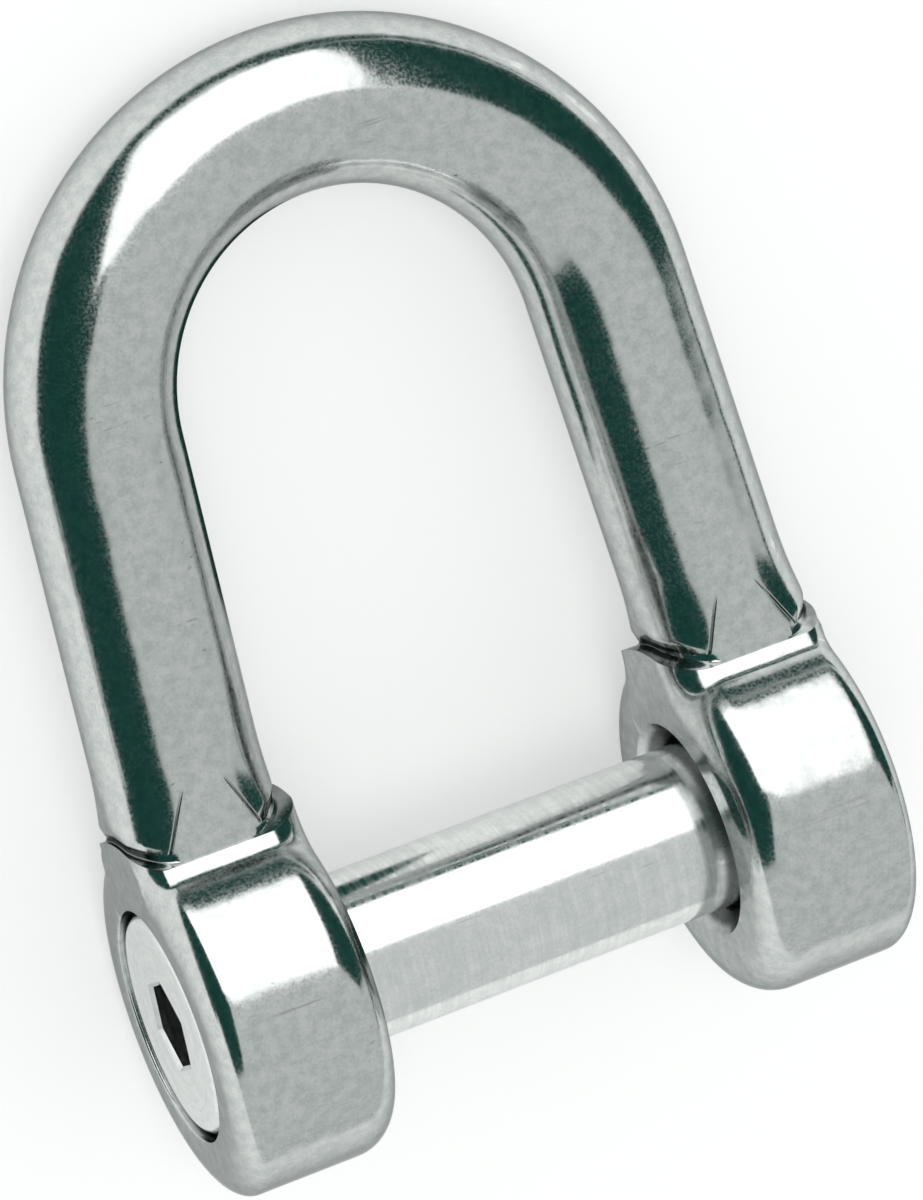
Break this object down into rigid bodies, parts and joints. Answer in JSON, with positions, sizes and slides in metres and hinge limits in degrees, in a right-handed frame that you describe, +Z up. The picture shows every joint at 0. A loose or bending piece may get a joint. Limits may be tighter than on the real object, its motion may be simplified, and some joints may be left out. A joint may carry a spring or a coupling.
{
  "type": "chain joining shackle",
  "caption": "Polished D-shaped shackle with disc ears and a flush hexagon-socket screw pin, for joining chain; it lies on its side.",
  "frame": {"origin": "middle of the shackle's footprint, on the surface it lies on", "axes": "+X along the pin, from its head to its threaded end; +Y along the surface from the pin towards the crown of the bow; +Z up, out of the side that shows"},
  "size_m": [0.036, 0.0518, 0.0177],
  "materials": {
    "forged_steel": "forged stainless steel, polished bright with a fine mottle",
    "turned_steel": "turned stainless steel, polished bright"
  },
  "bodies": {
    "bow": {"shackle_body": "forged_steel"},
    "screw_pin": {"pin": "turned_steel"}
  },
  "joints": [
    {"name": "pin_withdrawal", "type": "slide", "parent": "bow", "child": "screw_pin", "axis": [-1, 0, 0], "range_m": [0, 0.04]}
  ]
}
